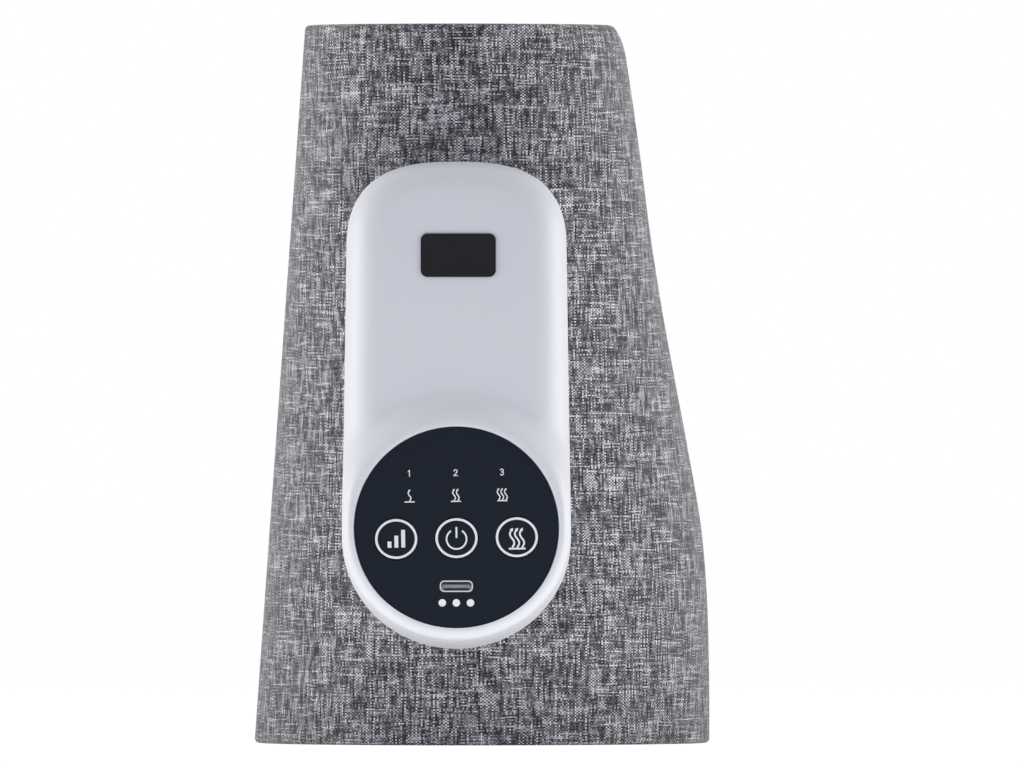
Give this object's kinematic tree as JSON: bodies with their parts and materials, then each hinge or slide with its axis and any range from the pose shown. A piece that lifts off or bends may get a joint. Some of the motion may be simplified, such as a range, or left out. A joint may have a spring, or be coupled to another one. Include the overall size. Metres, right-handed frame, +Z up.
{
  "type": "calf massager",
  "caption": "Wrap-around padded air cuff for the calf, tapered to the ankle and closed at the back, with a rigid control unit carrying a round key panel on its front.",
  "frame": {"origin": "centre of the standing edge: bottom centre of the overall box, on the surface that the wide end stands on", "axes": "+Z up from the wide calf end to the narrow ankle end, -Y out of the front that carries the control unit, +X to the calf's bulging side"},
  "size_m": [0.1318, 0.1634, 0.208],
  "materials": {
    "cover_fabric": "linen-look weave",
    "lining_fabric": "brushed knit",
    "foam": "open-cell foam",
    "air_film": "welded film",
    "shell_plastic": "satin moulded",
    "panel_glass": "smooth gloss",
    "badge": "smooth gloss",
    "print_white": "screen print",
    "light_white": "light guide",
    "gasket": "soft",
    "steel": "stamped",
    "dark_plastic": "moulded",
    "board": "solder mask",
    "cell_wrap": "foil pouch",
    "brass": "turned",
    "tube": "silicone",
    "heater": "etched film",
    "hook_tape": "moulded hooks",
    "loop_tape": "brushed loops"
  },
  "bodies": {
    "front": {"upper_housing": "shell_plastic", "lower_housing": "shell_plastic", "control_panel": "panel_glass", "panel_gasket": "gasket", "badge_plate": "badge", "mode_marks": "print_white", "usb_shell": "steel", "usb_tongue": "dark_plastic", "light_pipes": "light_white", "main_board": "board", "key_switches": "dark_plastic", "battery_pack": "cell_wrap", "pump_motor": "steel", "pump_head": "dark_plastic", "release_valve": "brass", "air_manifold": "dark_plastic", "outlet_hoses": "tube", "housing_screws": "steel", "clamp_plate": "dark_plastic", "clamp_screws": "steel", "front_cover": "cover_fabric", "front_foam": "foam", "front_lining": "lining_fabric", "heating_film": "heater", "cuff_hoses": "tube"},
    "left_wing": {"left_cover": "cover_fabric", "left_bladder_lower": "air_film", "left_bladder_upper": "air_film", "left_flap_core": "foam", "left_lining": "lining_fabric", "hook_strips": "hook_tape"},
    "right_wing": {"right_cover": "cover_fabric", "right_bladder_lower": "air_film", "right_bladder_upper": "air_film", "right_tuck_core": "foam", "right_lining": "lining_fabric", "loop_patch": "loop_tape"},
    "intensity_key": {"intensity_button": "panel_glass", "intensity_mark": "print_white"},
    "power_key": {"power_button": "panel_glass", "power_mark": "print_white"},
    "heat_key": {"heat_button": "panel_glass", "heat_mark": "print_white"}
  },
  "joints": [
    {"name": "left_wing_hinge", "type": "hinge", "parent": "front", "child": "left_wing", "pos_m": [-0.06435, 0.03063, 0], "axis": [0.0681, -0.0271, 0.9973], "range_deg": [0, 100]},
    {"name": "right_wing_hinge", "type": "hinge", "parent": "front", "child": "right_wing", "pos_m": [0.06925, 0.03063, 0], "axis": [-0.1287, -0.0269, 0.9913], "range_deg": [-65, 0]},
    {"name": "intensity_press", "type": "slide", "parent": "front", "child": "intensity_key", "axis": [0, 0.9903, -0.1392], "range_m": [0, 0.0006], "stiffness_N_per_m": 400},
    {"name": "power_press", "type": "slide", "parent": "front", "child": "power_key", "axis": [0, 0.9903, -0.1392], "range_m": [0, 0.0006], "stiffness_N_per_m": 400},
    {"name": "heat_press", "type": "slide", "parent": "front", "child": "heat_key", "axis": [0, 0.9903, -0.1392], "range_m": [0, 0.0006], "stiffness_N_per_m": 400}
  ],
  "couplings": [
    {"joint": "right_wing_hinge", "follows": "left_wing_hinge", "ratio": -0.65}
  ]
}
